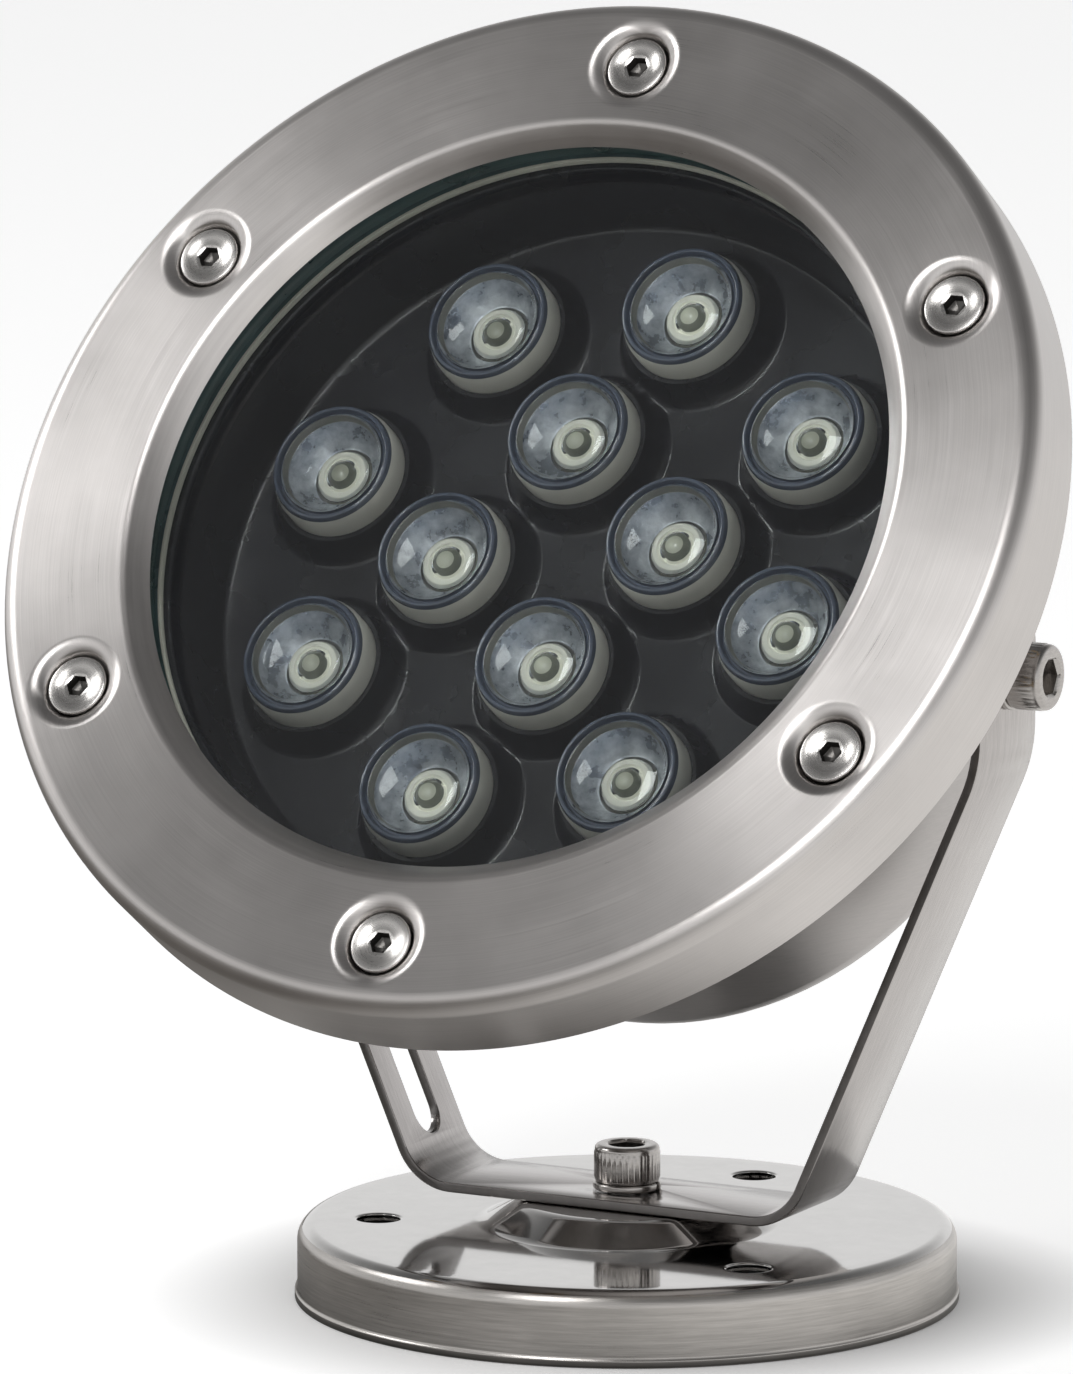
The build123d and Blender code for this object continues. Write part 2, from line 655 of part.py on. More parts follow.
def make_gland():
    """Screwed cable gland through the middle of the can's back."""
    washer_back = CAN_BACK + GLAND_WASHER_THICKNESS
    hex_back = washer_back + GLAND_HEX_HEIGHT
    tail_end = hex_back + GLAND_TAIL_LENGTH
    pocket_front = tail_end - GLAND_SEAL_LENGTH + 2.0
    nut_front = hex_back + 0.4
    nut_end = nut_front + GLAND_NUT_LENGTH
    seal_end = pocket_front + GLAND_SEAL_LENGTH
    finish(washer(FACE, -washer_back, GLAND_WASHER_RADIUS, GLAND_THREAD_RADIUS,
                  GLAND_WASHER_THICKNESS), "gland_washer")
    body = turned(behind(
        (GLAND_BORE_RADIUS, GLAND_INNER_END),
        (GLAND_THREAD_RADIUS, GLAND_INNER_END),
        (GLAND_THREAD_RADIUS, washer_back),
        (GLAND_TAIL_RADIUS, washer_back),
        (GLAND_TAIL_RADIUS, tail_end),
        (GLAND_POCKET_RADIUS, tail_end),
        (GLAND_POCKET_RADIUS, pocket_front),
        (GLAND_BORE_RADIUS, pocket_front),
    ))
    with BuildPart() as gland:
        add(body.part)
        with BuildSketch(FACE.offset(-hex_back)):
            RegularPolygon(GLAND_FLATS / 2, 6, major_radius=False)
            Circle(GLAND_TAIL_RADIUS, mode=Mode.SUBTRACT)
        extrude(amount=GLAND_HEX_HEIGHT)
    finish(gland, "gland_body")
    finish(washer(FACE, -seal_end, GLAND_POCKET_RADIUS, GLAND_CABLE_RADIUS, GLAND_SEAL_LENGTH),
           "gland_seal")
    finish(hex_nut(FACE, -CAN_FLOOR, GLAND_FLATS, GLAND_THREAD_RADIUS, LOCKNUT_HEIGHT),
           "gland_locknut")
    with BuildPart() as nut:
        with BuildSketch(FACE.offset(-nut_end)):
            RegularPolygon(GLAND_FLATS / 2, 6, major_radius=False)
        extrude(amount=GLAND_NUT_LENGTH)
        with BuildSketch(HEAD_SECTION):
            with BuildLine():
                Polyline(*behind(
                    (GLAND_NUT_CREST_RADIUS, nut_end),
                    (GLAND_FLATS / 2, seal_end),
                    (GLAND_FLATS, seal_end),
                    (GLAND_FLATS, nut_end),
                ), close=True)
            make_face()
        revolve(axis=BEAM_AXIS, mode=Mode.SUBTRACT)
        with BuildSketch(FACE.offset(-nut_front)):
            Circle(GLAND_TAIL_RADIUS)
        extrude(amount=nut_front - seal_end, mode=Mode.SUBTRACT)
        with BuildSketch(FACE.offset(-nut_front)):
            Circle(GLAND_BORE_RADIUS)
        extrude(amount=-GLAND_NUT_LENGTH, mode=Mode.SUBTRACT)
    finish(nut, "gland_nut")


os.makedirs("parts", exist_ok=True)
make_base_plate()
make_base_fasteners()
make_u_bracket()
make_pivot_fasteners()
make_bezel_ring()
make_bezel_screws()
make_insert_nuts()
make_glass_and_gaskets()
make_housing_can()
make_lens_plate()
for number, spot in enumerate(LED_SPOTS, start=1):
    make_lens_and_led(number, spot)
make_led_board()
make_driver()
make_gland()
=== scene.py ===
"""Underwater pond light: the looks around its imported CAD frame. Lengths are in millimetres up to MM."""
from math import atan2, cos, hypot, pi, radians, sin, tan

import bmesh
import bpy
from mathutils import Matrix, Vector
from mathutils.geometry import delaunay_2d_cdt


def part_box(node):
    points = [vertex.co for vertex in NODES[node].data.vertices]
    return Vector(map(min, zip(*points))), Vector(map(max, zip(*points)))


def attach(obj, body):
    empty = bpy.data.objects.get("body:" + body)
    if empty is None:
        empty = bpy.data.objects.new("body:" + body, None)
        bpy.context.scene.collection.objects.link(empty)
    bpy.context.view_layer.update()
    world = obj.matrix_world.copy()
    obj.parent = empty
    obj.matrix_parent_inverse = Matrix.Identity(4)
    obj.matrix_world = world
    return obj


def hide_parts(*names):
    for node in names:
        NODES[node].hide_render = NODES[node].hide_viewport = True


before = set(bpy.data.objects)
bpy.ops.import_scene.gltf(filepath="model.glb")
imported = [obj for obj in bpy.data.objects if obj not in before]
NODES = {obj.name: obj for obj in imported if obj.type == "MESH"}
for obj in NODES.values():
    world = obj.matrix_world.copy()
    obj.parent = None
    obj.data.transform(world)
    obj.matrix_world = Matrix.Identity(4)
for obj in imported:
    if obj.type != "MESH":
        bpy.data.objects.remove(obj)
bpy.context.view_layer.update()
MM = 0.001
FINE_STEPS = 180  # around the base, tray, gasket and glass

# ======== places, read from the frame ========


def box_centre(node):
    low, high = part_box(node)
    return (low + high) / 2


def axes(z_axis, x_axis):
    """Turns local X, Y, Z to a frame with these Z and X directions."""
    z_axis, x_axis = z_axis.normalized(), x_axis.normalized()
    return Matrix((x_axis, z_axis.cross(x_axis), z_axis)).transposed().to_4x4()


def local_box(node, place):
    """Lowest and highest corners of a CAD node in a local frame, in that frame's units."""
    back = place.inverted()
    points = [back @ vertex.co for vertex in NODES[node].data.vertices]
    return [Vector([pick(point[i] for point in points) for i in range(3)]) for pick in (min, max)]


def local_centre(node, place):
    low, high = local_box(node, place)
    return (low + high) / 2


def placed(origin, z_axis, x_axis=Vector((1, 0, 0))):
    """A local frame in millimetres at a point given in metres."""
    return Matrix.Translation(origin) @ axes(z_axis, x_axis) @ Matrix.Scale(MM, 4)


BEAM = (box_centre("glass") - box_centre("led_board")).normalized()
GLASS_CENTRE = box_centre("glass")
FACE_AHEAD = max((v.co - GLASS_CENTRE).dot(BEAM) for v in NODES["bezel_ring"].data.vertices)
# the head's frame: origin at the centre of the ring's face, Z along the beam, X to the right
HEAD = placed(GLASS_CENTRE + BEAM * FACE_AHEAD, BEAM)
BASE = placed(Vector((0, 0, 0)), Vector((0, 0, 1)))

# ======== camera, floor and lights ========

SCENE = bpy.context.scene
CAMERA_AZIMUTH, CAMERA_ELEVATION = 27.93, 9.34
CAMERA_PLACE = Vector((0.68057, -1.31281, 0.33568))
LENS = 263.4
LAMP_TARGET = (0, 0, 0.12)
# (height of the direction, from 0 at the horizon to 1 overhead; brightness)
TENT_STOPS = ((0.0, 0.95), (0.22, 0.95), (0.5, 0.42), (0.75, 0.16), (1.0, 0.12))


def link(thing):
    SCENE.collection.objects.link(thing)
    return thing


def aim(thing, back):
    """Points a camera or lamp against a direction, with no roll."""
    thing.rotation_euler = back.to_track_quat("Z", "Y").to_euler()


def make_camera():
    azimuth, elevation = radians(CAMERA_AZIMUTH), radians(CAMERA_ELEVATION)
    back = Vector((sin(azimuth) * cos(elevation), -cos(azimuth) * cos(elevation), sin(elevation)))
    camera = link(bpy.data.objects.new("camera", bpy.data.cameras.new("camera")))
    camera.data.lens = LENS
    camera.data.clip_start = 0.05
    camera.data.clip_end = 50
    camera.location = CAMERA_PLACE
    aim(camera, back)
    SCENE.camera = camera


def area_light(name, place, target, size, power, colour=(1, 1, 1)):
    """A square softbox that the camera doesn't see."""
    lamp = bpy.data.lights.new(name, "AREA")
    lamp.shape = "RECTANGLE"
    lamp.size, lamp.size_y = size
    lamp.energy = power
    lamp.color = colour
    thing = link(bpy.data.objects.new(name, lamp))
    thing.location = place
    aim(thing, Vector(place) - Vector(target))
    thing.visible_camera = False
    return thing


def make_world():
    """A white tent: bright all round the horizon and below, grey overhead."""
    world = bpy.data.worlds.new("tent")
    SCENE.world = world
    world.use_nodes = True
    nodes, links = world.node_tree.nodes, world.node_tree.links
    background = nodes["Background"]
    where = nodes.new("ShaderNodeTexCoord")
    split = nodes.new("ShaderNodeSeparateXYZ")
    ramp = nodes.new("ShaderNodeValToRGB")
    links.new(where.outputs["Generated"], split.inputs[0])
    links.new(split.outputs["Z"], ramp.inputs["Fac"])
    links.new(ramp.outputs["Color"], background.inputs["Color"])
    while len(ramp.color_ramp.elements) < len(TENT_STOPS):
        ramp.color_ramp.elements.new(0.5)
    for element, (position, value) in zip(ramp.color_ramp.elements, TENT_STOPS):
        element.position = position
        element.color = (value, value, value, 1)


make_camera()
make_world()
SCENE.view_settings.view_transform = "Standard"
area_light("left_box", (-1.38, -0.47, 1.08), LAMP_TARGET, (0.65, 0.45), 5.5)
area_light("front_box", (-0.1, -1.3, 1.32), LAMP_TARGET, (0.4, 0.75), 8.5)

# ======== materials ========


class Paint:
    """A node material around one Principled shader, with short calls for the nodes it needs."""

    def __init__(self, name, colour, roughness, metallic=0.0, **sockets):
        self.material = bpy.data.materials.new(name)
        self.material.use_nodes = True
        self.nodes = self.material.node_tree.nodes
        self.links = self.material.node_tree.links
        self.shader = self.nodes["Principled BSDF"]
        self.output = self.nodes["Material Output"]
        self.where = self.nodes.new("ShaderNodeTexCoord").outputs["Object"]
        self.set("Base Color", colour)
        self.set("Roughness", roughness)
        self.set("Metallic", metallic)
        for socket, value in sockets.items():
            self.set(socket.replace("_", " "), value)

    def set(self, socket, value):
        """Puts a constant or a node's output on one of the shader's sockets."""
        target = self.shader.inputs[socket]
        if isinstance(value, bpy.types.NodeSocket):
            self.links.new(value, target)
        elif isinstance(value, tuple):
            target.default_value = (*value, 1) if len(target.default_value) == 4 else value
        else:
            target.default_value = value

    def node(self, kind, inputs, **settings):
        node = self.nodes.new("ShaderNode" + kind)
        for key, value in settings.items():
            setattr(node, key, value)
        for key, value in inputs.items():
            if isinstance(value, bpy.types.NodeSocket):
                self.links.new(value, node.inputs[key])
            else:
                node.inputs[key].default_value = value
        return node

    def moved(self, stretch, turn=(0, 0, 0)):
        """Object coordinates, turned and then stretched, so that noise becomes streaks."""
        turned = self.node("Mapping", {"Vector": self.where, "Rotation": turn}, vector_type="POINT")
        return self.node("Mapping", {"Vector": turned.outputs[0], "Scale": stretch}).outputs[0]

    def noise(self, scale, detail=3, rough=0.55, where=None):
        """Noise about 0.5, with features of 1/scale metres."""
        inputs = {"Vector": where or self.where, "Scale": scale, "Detail": detail, "Roughness": rough}
        return self.node("TexNoise", inputs).outputs[0]

    def span(self, value, low, high, to_low=0.0, to_high=1.0):
        """Maps low..high of a value to another range, clamped."""
        inputs = {"Value": value, "From Min": low, "From Max": high, "To Min": to_low, "To Max": to_high}
        return self.node("MapRange", inputs).outputs[0]

    def blend(self, factor, low, high):
        """A colour between two, by a factor."""
        node = self.node("Mix", {}, data_type="RGBA")
        for socket, value in ((node.inputs[0], factor), (node.inputs[6], low), (node.inputs[7], high)):
            if isinstance(value, bpy.types.NodeSocket):
                self.links.new(value, socket)
            elif isinstance(value, tuple):
                socket.default_value = (*value, 1)
            else:
                socket.default_value = value
        return node.outputs[2]

    def maths(self, operation, first, second=0.0):
        return self.node("Math", {0: first, 1: second}, operation=operation).outputs[0]

    def bump(self, height, depth, strength=1.0):
        """A bump of a depth in metres."""
        inputs = {"Height": height, "Distance": depth, "Strength": strength}
        self.set("Normal", self.node("Bump", inputs).outputs[0])

    def lamps_pass(self, tint):
        """Lets rays from lamps straight through, as thin clear parts do."""
        clear = self.node("BsdfTransparent", {"Color": (*tint, 1)})
        path = self.nodes.new("ShaderNodeLightPath")
        mix = self.node("MixShader", {0: path.outputs["Is Shadow Ray"], 1: self.shader.outputs[0],
                                      2: clear.outputs[0]})
        self.links.new(mix.outputs[0], self.output.inputs["Surface"])
        return self


FLOOR_HALF = 6
GLOW_START, GLOW_FULL = 0.044, 0.075  # distances from the swivel axis, the first under the base
TO_THE_RIGHT = (0.883, 0.468, 0)  # on the floor
DARK_SIDE, PALE_SIDE = -0.11, 0.07  # distances to the right
DARK_CARD, PALE_CARD = (0.13, 0.12, 0.11), (1.0, 0.99, 0.97)


def make_floor():
    """Pale floor that glows softly, except under the base, where the glow is cut off as painted shade. Pieces
    mirror it as a grey floor, darker to the left, as if dark cards lay beside the object."""
    mesh = bpy.data.meshes.new("floor")
    corners = [(x * FLOOR_HALF, y * FLOOR_HALF, 0) for x, y in ((-1, -1), (1, -1), (1, 1), (-1, 1))]
    mesh.from_pydata(corners, [], [(0, 1, 2, 3)])
    floor = link(bpy.data.objects.new("floor", mesh))
    paint = Paint("floor_white", (0.9, 0.9, 0.9), 0.7, Emission_Color=(1, 1, 1))
    reach = paint.node("VectorMath", {0: paint.where}, operation="LENGTH").outputs["Value"]
    # no glow under the base: painted shade, dark through the base's holes and round its foot
    paint.set("Emission Strength", paint.span(reach, GLOW_START, GLOW_FULL, 0, 0.55))
    across = paint.node("VectorMath", {0: paint.where, 1: TO_THE_RIGHT}, operation="DOT_PRODUCT")
    shade = paint.blend(paint.span(across.outputs["Value"], DARK_SIDE, PALE_SIDE), DARK_CARD, PALE_CARD)
    grey = paint.node("Emission", {"Color": shade, "Strength": paint.span(reach, GLOW_START, GLOW_FULL)})
    path = paint.nodes.new("ShaderNodeLightPath")
    mix = paint.node("MixShader", {0: path.outputs["Is Camera Ray"], 1: grey.outputs[0],
                                   2: paint.shader.outputs[0]})
    paint.links.new(mix.outputs[0], paint.output.inputs["Surface"])
    mesh.materials.append(paint.material)


make_floor()


def finish_of(nodes, paint):
    """Gives CAD nodes a finish."""
    for name in nodes:
        slots = NODES[name].data.materials
        slots.clear()
        slots.append(paint.material)


def brushed(name, colour, roughness, stretch, turn=(0, 0, 0), depth=0.00002, dirt=0.12):
    """Metal with fine streaks along one direction and faint clouds of tone."""
    paint = Paint(name, colour, roughness, 1.0)
    streaks = paint.noise(1.0, 4, 0.7, paint.moved(stretch, turn))
    clouds = paint.noise(38, 3)
    tone = paint.maths("ADD", paint.maths("MULTIPLY", streaks, 0.6), paint.maths("MULTIPLY", clouds, 0.4))
    dark = tuple(channel * (1 - dirt) for channel in colour)
    light = tuple(min(1, channel * (1 + dirt)) for channel in colour)
    paint.set("Base Color", paint.blend(paint.span(tone, 0.35, 0.65), dark, light))
    paint.set("Roughness", paint.span(tone, 0.3, 0.7, roughness * 0.85, roughness * 1.2))
    paint.bump(streaks, depth, 0.6)
    return paint


def turned(name, colour, roughness):
    """Lathe-brushed sheet: fine rings about the piece's axis, by its UV map (turns, radius in metres)."""
    paint = Paint(name, colour, roughness, 1.0, Anisotropic=0.75, Anisotropic_Rotation=0.25)
    spin = paint.nodes.new("ShaderNodeUVMap")
    spin.uv_map = "turning"
    rings = paint.node("Mapping", {"Vector": spin.outputs[0], "Scale": (14, 5200, 1)}).outputs[0]
    streaks = paint.noise(1.0, 4, 0.65, rings)
    clouds = paint.noise(42, 4)
    tone = paint.maths("ADD", paint.maths("MULTIPLY", streaks, 0.5), paint.maths("MULTIPLY", clouds, 0.5))
    dark = tuple(channel * 0.88 for channel in colour)
    light = tuple(min(1, channel * 1.1) for channel in colour)
    paint.set("Base Color", paint.blend(paint.span(tone, 0.35, 0.65), dark, light))
    paint.set("Roughness", paint.span(tone, 0.3, 0.7, roughness * 0.88, roughness * 1.15))
    tangent = paint.node("Tangent", {}, direction_type="UV_MAP", uv_map="turning")
    paint.set("Tangent", tangent.outputs[0])
    paint.bump(streaks, 0.00001, 0.5)
    return paint


def moulded(name, colour, roughness, metallic=0.0, grain=900, depth=0.00001, spread=0.12, **sockets):
    """Moulded or cast stuff: a fine grain, with faint clouds of tone and gloss."""
    paint = Paint(name, colour, roughness, metallic, **sockets)
    clouds = paint.span(paint.noise(60, 4), 0.35, 0.65)
    dark = tuple(channel * (1 - spread) for channel in colour)
    light = tuple(min(1, channel * (1 + spread)) for channel in colour)
    paint.set("Base Color", paint.blend(clouds, dark, light))
    paint.set("Roughness", paint.span(clouds, 0, 1, roughness * 0.85, roughness * 1.15))
    paint.bump(paint.noise(grain, 2), depth)
    return paint


def mottled(name, dark, light, depth=0.0002):
    """Painted reflection for a clear lens's mirroring facets: a metal with cloudy dark and light patches drawn out
    along the beam.
    """
    paint = Paint(name, light, 0.3, 0.7)
    clouds = paint.noise(330, 5, 0.62, paint.moved((1, 1, 0.35), (radians(-56), 0, 0)))
    paint.set("Base Color", paint.blend(paint.span(clouds, 0.34, 0.64), dark, light))
    paint.set("Roughness", paint.span(clouds, 0.34, 0.64, 0.22, 0.42))
    paint.bump(clouds, depth)
    return paint


def clear(name, colour, ior, tint):
    """Glass or acrylic with faint smears, which lets lamps through."""
    paint = Paint(name, colour, 0.0, Transmission_Weight=1.0, IOR=ior)
    paint.set("Roughness", paint.span(paint.noise(70, 4), 0.5, 0.75, 0.0, 0.025))
    return paint.lamps_pass(tint)


# ======== mesh helpers ========


def rounded(corners, steps=4):
    """A line through (radius, height) corners, with an arc at each that has a third value, its radius."""
    line = []
    for index, corner in enumerate(corners):
        place = Vector(corner[:2])
        if len(corner) < 3:
            line.append(tuple(place))
            continue
        before = (Vector(corners[index - 1][:2]) - place).normalized()
        after = (Vector(corners[(index + 1) % len(corners)][:2]) - place).normalized()
        half = before.angle(after) / 2
        centre = place + (before + after).normalized() * corner[2] / sin(half)
        spoke = place + before * corner[2] / tan(half) - centre
        turn = (pi - 2 * half) * (1 if before.cross(after) < 0 else -1)
        for step in range(steps + 1):
            line.append(tuple(centre + Matrix.Rotation(turn * step / steps, 2) @ spoke))
    return line


def round_outline(angle):
    return 1.0


def hexagon(angle):
    """A hexagon's radius at an angle, for a half width across flats of 1."""
    return 1 / cos(angle % (pi / 3) - pi / 6)


class Shape:
    """Vertices and faces in a local frame."""

    def __init__(self):
        self.points = []
        self.faces = []
        self.slots = []

    def loop(self, radius, height, steps, outline=round_outline, centre=(0, 0)):
        """Adds a closed loop about local Z, or one point at radius 0, and returns its vertex numbers."""
        first = len(self.points)
        if radius == 0:
            self.points.append((*centre, height))
            return [first]
        for step in range(steps):
            angle = 2 * pi * step / steps
            reach = radius * outline(angle)
            self.points.append((centre[0] + reach * cos(angle), centre[1] + reach * sin(angle), height))
        return list(range(first, first + steps))

    def face(self, corners, slot=0):
        self.faces.append(corners)
        self.slots.append(slot)

    def bridge(self, low, high, slot=0):
        """Faces between two loops, either of which may be one point."""
        steps = max(len(low), len(high))
        for step in range(steps):
            after = (step + 1) % steps
            if len(low) == 1:
                self.face((low[0], high[after], high[step]), slot)
            elif len(high) == 1:
                self.face((low[step], low[after], high[0]), slot)
            else:
                self.face((low[step], low[after], high[after], high[step]), slot)

    def lathe(self, profile, steps, centre=(0, 0), closed=False, slot=0):
        """Turns a profile of (radius, height) or (radius, height, outline) about local Z."""
        loops = []
        for radius, height, *outline in profile:
            loops.append(self.loop(radius, height, steps, outline[0] if outline else round_outline, centre))
        for low, high in zip(loops, loops[1:]):
            self.bridge(low, high, slot)
        if closed:
            self.bridge(loops[-1], loops[0], slot)
        return loops

    def piece(self, name, place, paints, sharp=32):
        """Makes an object of it, with smooth shading broken at sharp edges."""
        mesh = bpy.data.meshes.new(name)
        mesh.from_pydata(self.points, [], self.faces)
        mesh.polygons.foreach_set("material_index", self.slots)
        for paint in paints:
            mesh.materials.append(paint.material)
        work = bmesh.new()
        work.from_mesh(mesh)
        bmesh.ops.remove_doubles(work, verts=work.verts, dist=0.0005)
        bmesh.ops.recalc_face_normals(work, faces=work.faces)
        work.to_mesh(mesh)
        work.free()
        mesh.transform(place)
        mesh.shade_smooth()
        mesh.set_sharp_from_angle(angle=radians(sharp))
        return link(bpy.data.objects.new(name, mesh))


def add_turning(mesh, centres):
    """Gives a mesh in a turned piece's local frame the UV map "turning": turns about the nearest of the
    centres, and the distance along the surface from it, in metres."""
    turning = mesh.uv_layers.new(name="turning")
    for polygon in mesh.polygons:
        u, v = min(centres, key=lambda spot: (polygon.center.xy - Vector(spot)).length)
        spins = []
        for corner in polygon.loop_indices:
            x, y, z = mesh.vertices[mesh.loops[corner].vertex_index].co
            spins.append(atan2(y - v, x - u) / (2 * pi))
            turning.data[corner].uv = (spins[-1], (hypot(x - u, y - v) - z) * MM)
        if max(spins) - min(spins) > 0.5:
            for corner, spin in zip(polygon.loop_indices, spins):
                turning.data[corner].uv[0] = spin % 1


def softened(name, node, body, slot, paints, width, paint_of):
    """A copy of a CAD node with its sharp edges rounded over, and a paint picked for each face."""
    work = bmesh.new()
    work.from_mesh(NODES[node].data)
    bmesh.ops.remove_doubles(work, verts=work.verts, dist=0.000002)
    bmesh.ops.dissolve_limit(work, angle_limit=radians(0.5), verts=work.verts, edges=work.edges)
    for face in work.faces:
        face.material_index = paint_of(face)
    mesh = bpy.data.meshes.new(name)
    work.to_mesh(mesh)
    work.free()
    for paint in paints:
        mesh.materials.append(paint.material)
    mesh.shade_smooth()
    piece = link(bpy.data.objects.new(name, mesh))
    edge = piece.modifiers.new("edge", "BEVEL")
    edge.width = width * MM
    edge.segments = 3
    edge.limit_method = "ANGLE"
    edge.angle_limit = radians(40)
    edge.harden_normals = True
    return stand_in(piece, body, slot, node)


def even_shading(piece):
    """Keeps large flat faces flat next to small ones."""
    weigh = piece.modifiers.new("even_shading", "WEIGHTED_NORMAL")
    weigh.keep_sharp = True
    weigh.weight = 100


def stand_in(piece, body, slot, *nodes):
    """The piece rides on a body and replaces CAD nodes; the slot argument is not used."""
    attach(piece, body)
    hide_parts(*nodes)
    return piece


def plate(outer, holes, loose, height, drop):
    """A flat plate with holes, as (points, faces): loops of (x, y), loose points between them, a height
    for each point, and a test for the centres of triangles to drop."""
    flat, edges = [], []
    for loop in [outer, *holes]:
        first = len(flat)
        flat.extend(Vector(point) for point in loop)
        edges.extend((first + step, first + (step + 1) % len(loop)) for step in range(len(loop)))
    flat.extend(Vector(point) for point in loose)
    points, _, faces, *_ = delaunay_2d_cdt(flat, edges, [], 0, 1e-5)
    kept = [face for face in faces if not drop(sum((points[i] for i in face), Vector((0, 0))) / 3)]
    return [(p.x, p.y, height(p.x, p.y)) for p in points], kept


def circle(radius, steps, centre=(0, 0), turn=0.0):
    """Evenly spaced points on a circle, the first at a turn from local X."""
    spots = [turn + 2 * pi * step / steps for step in range(steps)]
    return [(centre[0] + radius * cos(angle), centre[1] + radius * sin(angle)) for angle in spots]


# ======== finishes ========

STEEL = (0.60, 0.575, 0.56)
ring_steel = turned("ring_steel", STEEL, 0.30)
screw_steel = turned("screw_steel", (0.66, 0.64, 0.62), 0.27)
can_steel = brushed("can_steel", (0.42, 0.40, 0.39), 0.34, (300, 300, 2600))
strap_steel = brushed("strap_steel", (0.44, 0.42, 0.41), 0.17, (200, 2600, 200))
# The strap's cut edges: rougher than its faces, and darker as painted shade for the dark they mirror.
strap_edge_painted_shade = brushed("strap_edge_painted_shade", (0.20, 0.19, 0.185), 0.36, (500, 200, 500))
base_steel = brushed("base_steel", (0.54, 0.53, 0.52), 0.07, (300, 300, 300), depth=0.000004, dirt=0.05)
base_side = brushed("base_side", (0.46, 0.44, 0.42), 0.30, (80, 80, 2600), depth=0.00002, dirt=0.22)
bolt_steel = brushed("bolt_steel", (0.42, 0.40, 0.385), 0.2, (900, 900, 3000))
# The screws' hexagon sockets: a dark copy of the screw steel, painted shade in the recess.
socket_painted_shade = moulded("socket_painted_shade", (0.10, 0.095, 0.09), 0.3, 0.8)
brass = brushed("brass", (0.75, 0.56, 0.28), 0.3, (900, 900, 900))
plastic = moulded("tray_black", (0.007, 0.007, 0.010), 0.26, Specular_IOR_Level=0.5)
silicone = moulded("silicone", (0.62, 0.60, 0.52), 0.5)
rubber = moulded("rubber", (0.03, 0.03, 0.03), 0.55)
glass = clear("cover_glass", (0.96, 0.985, 0.98), 1.52, (0.9, 0.93, 0.92))
# The glass edge: the glass's own dark green, made darker as painted shade for the dark gap behind it.
glass_edge = moulded("glass_edge", (0.037, 0.072, 0.074), 0.3, grain=1500, spread=0.35)
acrylic = clear("lens_acrylic", (0.97, 0.98, 0.99), 1.49, (0.92, 0.93, 0.95))
lens_side = moulded("lens_side", (0.52, 0.505, 0.46), 0.38, Coat_Weight=0.3)
# The lens cone: a metal with cloudy dark and light patches, painted reflection for the clear cone's inner mirrors.
lens_cone_painted_reflection = mottled("lens_cone_painted_reflection", (0.24, 0.265, 0.32), (0.72, 0.745, 0.79))
# The lens rim: opaque dark blue, painted reflection of the dark overhead and painted shade of the black collar seen
# through the clear rim.
lens_rim_painted_shade = moulded("lens_rim_painted_shade", (0.045, 0.055, 0.08), 0.12, Coat_Weight=0.6)
ceramic = moulded("led_ceramic", (0.74, 0.72, 0.62), 0.35)
led_dome = moulded("led_dome", (0.16, 0.165, 0.13), 0.12, spread=0.3, Coat_Weight=0.6)
phosphor = moulded("led_phosphor", (0.50, 0.50, 0.40), 0.15, spread=0.3, Coat_Weight=0.6)
board = moulded("board", (0.75, 0.75, 0.73), 0.4)
driver = moulded("driver_board", (0.02, 0.10, 0.05), 0.35)
component = moulded("driver_component", (0.03, 0.03, 0.035), 0.4)

FASTENERS = ("bolt", "washer", "screws", "boss", "base_nut", "gland_body", "gland_nut", "gland_locknut")
finish_of([name for name in NODES if any(word in name for word in FASTENERS)], bolt_steel)
finish_of(["housing_can"], can_steel)
finish_of(["front_gasket", "rear_gasket"], silicone)
finish_of(["led_board"], board)
finish_of(["driver_board"], driver)
finish_of(["driver_capacitor", "driver_inductor"], component)
finish_of(["insert_nuts", "board_standoffs", "driver_spacers"], brass)
finish_of(["gland_seal"], rubber)

# ======== front ring and its screws ========

RING_RADIUS = local_box("bezel_ring", HEAD)[1].x
SKIRT_END = local_box("bezel_ring", HEAD)[0].z
LIP_EDGE = (58.4, -2.5)
BEND = (61.5, 0, 2.0)
CORNER_FILLET = 3.0
SHEET = 1.0
RING_STEPS = 288
SCREW_COUNT = 6
SCREW_CIRCLE = 71.2
DIMPLE_MOUTH, DIMPLE_WALL, DIMPLE_DEPTH = 7.7, 5.3, 0.95
SCREW_SPOTS = circle(SCREW_CIRCLE, SCREW_COUNT, turn=pi / 2)


def nearest_screw(x, y):
    return min(hypot(x - u, y - v) for u, v in SCREW_SPOTS)


def dimple(x, y):
    """The ring's height near a screw: a soft shoulder that steepens towards the hole."""
    reach = (DIMPLE_MOUTH - nearest_screw(x, y)) / (DIMPLE_MOUTH - DIMPLE_WALL)
    return -DIMPLE_DEPTH * max(0.0, reach) ** 2


